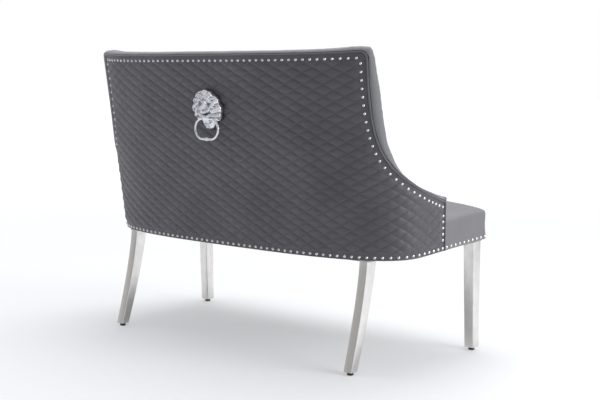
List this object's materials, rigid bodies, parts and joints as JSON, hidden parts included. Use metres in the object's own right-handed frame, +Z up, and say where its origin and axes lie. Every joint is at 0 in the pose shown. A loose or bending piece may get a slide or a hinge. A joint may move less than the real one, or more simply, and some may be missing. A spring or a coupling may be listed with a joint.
{
  "type": "high back waiting bench",
  "caption": "High back waiting bench with a quilted wrap-round shell, low arms, a sprung crown seat, four steel legs and a lion-head ring knocker on its back.",
  "frame": {"origin": "on the floor, in the middle of the bench between its front and rear extremes", "axes": "+Z up, +X along the bench to a sitter's left, +Y towards the quilted back; the sitter faces -Y"},
  "size_m": [1.3416, 0.6865, 0.982],
  "materials": {
    "quilted_fabric": "matte",
    "welt_fabric": "matte",
    "roll_leather": "satin",
    "inner_leather": "satin",
    "seat_leather": "satin",
    "foam": "matte",
    "bent_board": "matte",
    "frame_timber": "matte",
    "webbing": "matte",
    "dust_cloth": "matte",
    "nail_steel": "polished",
    "bright_cast": "polished",
    "screw_steel": "satin",
    "leg_steel": "brushed",
    "plate_steel": "satin",
    "plug_plastic": "matte",
    "glide_plastic": "matte"
  },
  "bodies": {
    "bench": {"quilted_back_cover": "quilted_fabric", "welt_cord": "welt_fabric", "edge_roll": "roll_leather", "inner_back_cover": "inner_leather", "inner_arm_cover_left": "inner_leather", "inner_arm_cover_right": "inner_leather", "arm_facing_left": "roll_leather", "arm_facing_right": "roll_leather", "back_foam": "foam", "arm_foam_left": "foam", "arm_foam_right": "foam", "outer_back_board": "bent_board", "outer_arm_board_left": "bent_board", "outer_arm_board_right": "bent_board", "inner_back_board": "bent_board", "back_uprights": "frame_timber", "back_top_rail": "frame_timber", "back_middle_rail": "frame_timber", "back_lower_rail": "frame_timber", "arm_rail_left": "frame_timber", "arm_rail_right": "frame_timber", "knocker_block": "frame_timber", "front_seat_rail": "frame_timber", "rear_seat_rail": "frame_timber", "side_seat_rail_left": "frame_timber", "side_seat_rail_right": "frame_timber", "seat_cross_rails": "frame_timber", "leg_blocks": "frame_timber", "seat_webbing": "webbing", "seat_foam": "foam", "seat_cover": "seat_leather", "dust_cover": "dust_cloth", "back_edge_nails": "nail_steel", "lower_edge_nails": "nail_steel", "seat_edge_nails": "nail_steel", "lion_mask": "bright_cast", "knocker_screws": "screw_steel", "front_leg_left": "leg_steel", "front_leg_right": "leg_steel", "rear_leg_left": "leg_steel", "rear_leg_right": "leg_steel", "leg_plates": "plate_steel", "leg_screws": "screw_steel", "leg_plugs": "plug_plastic"},
    "ring": {"knocker_ring": "bright_cast"},
    "glide_front_left_body": {"glide_front_left": "glide_plastic"},
    "glide_front_right_body": {"glide_front_right": "glide_plastic"},
    "glide_rear_left_body": {"glide_rear_left": "glide_plastic"},
    "glide_rear_right_body": {"glide_rear_right": "glide_plastic"}
  },
  "joints": [
    {"name": "ring_swing", "type": "hinge", "parent": "bench", "child": "ring", "pos_m": [0, 0.30987, 0.76053], "axis": [1, 0, 0], "range_deg": [-18, 95]},
    {"name": "glide_front_left_level", "type": "slide", "parent": "bench", "child": "glide_front_left_body", "axis": [0, 0, -1], "range_m": [0, 0.01]},
    {"name": "glide_front_right_level", "type": "slide", "parent": "bench", "child": "glide_front_right_body", "axis": [0, 0, -1], "range_m": [0, 0.01]},
    {"name": "glide_rear_left_level", "type": "slide", "parent": "bench", "child": "glide_rear_left_body", "axis": [0, 0, -1], "range_m": [0, 0.01]},
    {"name": "glide_rear_right_level", "type": "slide", "parent": "bench", "child": "glide_rear_right_body", "axis": [0, 0, -1], "range_m": [0, 0.01]}
  ]
}
